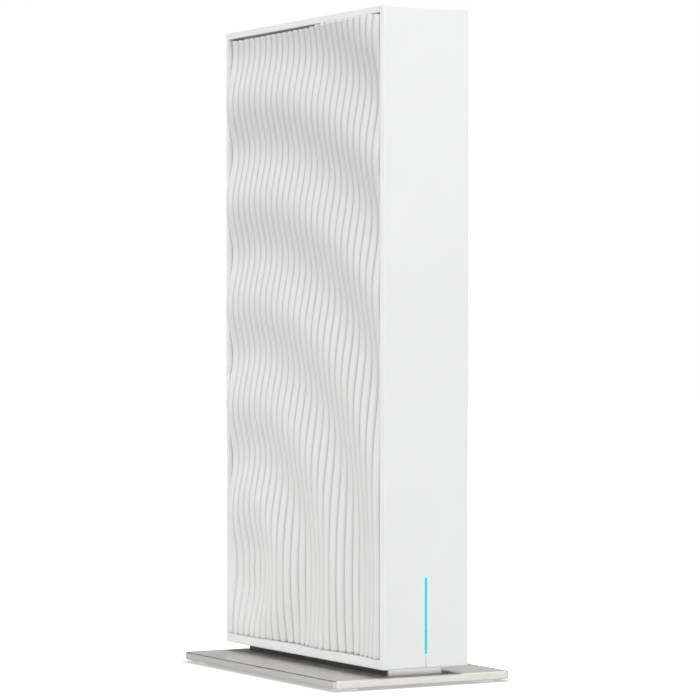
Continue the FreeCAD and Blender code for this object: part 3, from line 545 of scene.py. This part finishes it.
# --------------------------------------------------------------------- studio


def plate_painted_shadow(tree):
    """The painted contact shadow: 1 under the base plate, falling away outside its outline."""
    low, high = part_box("base_plate")
    at = parts_of(tree, "Object")
    outside = []
    for axis, half in (("X", (high.x - low.x) / 2), ("Y", (high.y - low.y) / 2)):
        off = math_node(tree, "SUBTRACT", math_node(tree, "ABSOLUTE", at[axis]), half)
        outside.append(square(tree, math_node(tree, "MAXIMUM", off, 0.0)))
    off = math_node(tree, "SQRT", math_node(tree, "ADD", *outside))
    return math_node(tree, "EXPONENT", math_node(tree, "MULTIPLY", off, -1 / CONTACT_REACH))


def studio_floor():
    """A pale floor with a painted shadow under the plate, brightening away so it runs into the white
    background.
    """
    bpy.ops.mesh.primitive_plane_add(size=FLOOR_SIZE, location=(0, 0, 0))
    floor = bpy.context.object
    floor.name = "studio_floor"
    made, tree, surface = textured("pale_floor", FLOOR_COLOUR, 0.7, 60.0, 1e-6, tone=0.004)
    # Painted shadow under the plate, in the floor's colour and in the camera's glow.
    contact = plate_painted_shadow(tree)
    darker(tree, surface, contact, CONTACT_PAINTED_SHADE)
    length = tree.nodes.new("ShaderNodeVectorMath")
    length.operation = "LENGTH"
    tree.links.new(tree.nodes.new("ShaderNodeTexCoord").outputs["Object"], length.inputs[0])
    start, end = (FLOOR_GLOW_START, FLOOR_GLOW_END), (FLOOR_GLOW_NEAR, FLOOR_GLOW_FAR)
    glow = ranged(tree, length.outputs["Value"], start, end, "SMOOTHSTEP")
    rays = tree.nodes.new("ShaderNodeLightPath")
    seen = node(tree, "ShaderNodeMix", A=FLOOR_LIGHT)
    lost = math_node(tree, "MULTIPLY", contact, 1 - CONTACT_PAINTED_SHADE)
    kept = math_node(tree, "SUBTRACT", 1.0, lost)
    tree.links.new(math_node(tree, "MULTIPLY", glow, kept), seen.inputs["B"])
    tree.links.new(rays.outputs["Is Camera Ray"], seen.inputs["Factor"])
    surface.inputs["Emission Color"].default_value = WHITE
    tree.links.new(seen.outputs["Result"], surface.inputs["Emission Strength"])
    bounce = mixed(tree, rays.outputs["Is Diffuse Ray"], colour_of(surface), (*FLOOR_BOUNCE, 1))
    tree.links.new(bounce, surface.inputs["Base Color"])
    floor.data.materials.append(made)


def soft_light(name, azimuth, elevation, power):
    """A square soft light aimed at the middle of the router."""
    lamp = bpy.data.lights.new(name, "AREA")
    lamp.shape = "SQUARE"
    lamp.size = LAMP_SIZE
    lamp.energy = power
    holder = bpy.data.objects.new(name, lamp)
    a = math.radians(azimuth)
    e = math.radians(elevation)
    away = Vector((math.sin(a) * math.cos(e), -math.cos(a) * math.cos(e), math.sin(e)))
    holder.location = VIEW_TARGET + away * LAMP_DISTANCE
    holder.rotation_euler = (-away).to_track_quat("-Z", "Y").to_euler()
    bpy.context.scene.collection.objects.link(holder)


def world_light():
    """A white background that adds only a little light of its own."""
    world = bpy.data.worlds.new("studio")
    world.use_nodes = True
    tree = world.node_tree
    background = tree.nodes["Background"]
    background.inputs["Color"].default_value = WHITE
    rays = tree.nodes.new("ShaderNodeLightPath")
    strength = ranged(tree, rays.outputs["Is Camera Ray"], (0, 1), (WORLD_LIGHT, 1))
    tree.links.new(strength, background.inputs["Strength"])
    bpy.context.scene.world = world


def camera():
    """A long lens, at the height of the router's middle."""
    lens = bpy.data.cameras.new("camera")
    lens.sensor_width = SENSOR
    lens.lens = LENS
    lens.clip_end = CAMERA_REACH
    viewer = bpy.data.objects.new("camera", lens)
    level = Vector((-math.sin(VIEW_AZIMUTH), math.cos(VIEW_AZIMUTH), 0))
    forward = level * math.cos(VIEW_TILT)
    forward.z = math.sin(VIEW_TILT)
    viewer.location = VIEW_TARGET - forward * VIEW_DISTANCE
    viewer.rotation_euler = forward.to_track_quat("-Z", "Y").to_euler()
    bpy.context.scene.collection.objects.link(viewer)
    bpy.context.scene.camera = viewer


def studio():
    """The floor, the white background and the lights."""
    bpy.context.scene.view_settings.view_transform = "Standard"
    studio_floor()
    world_light()
    for name, (azimuth, elevation, power) in LAMPS.items():
        soft_light(name, azimuth, elevation, power)


camera()
finishes = finish_nodes()
wave_panel("left_wave_skin", "left_wave_panel", -1, finishes["white_panel"])
wave_panel("right_wave_skin", "right_wave_panel", 1, finishes["white_panel"])
studio()
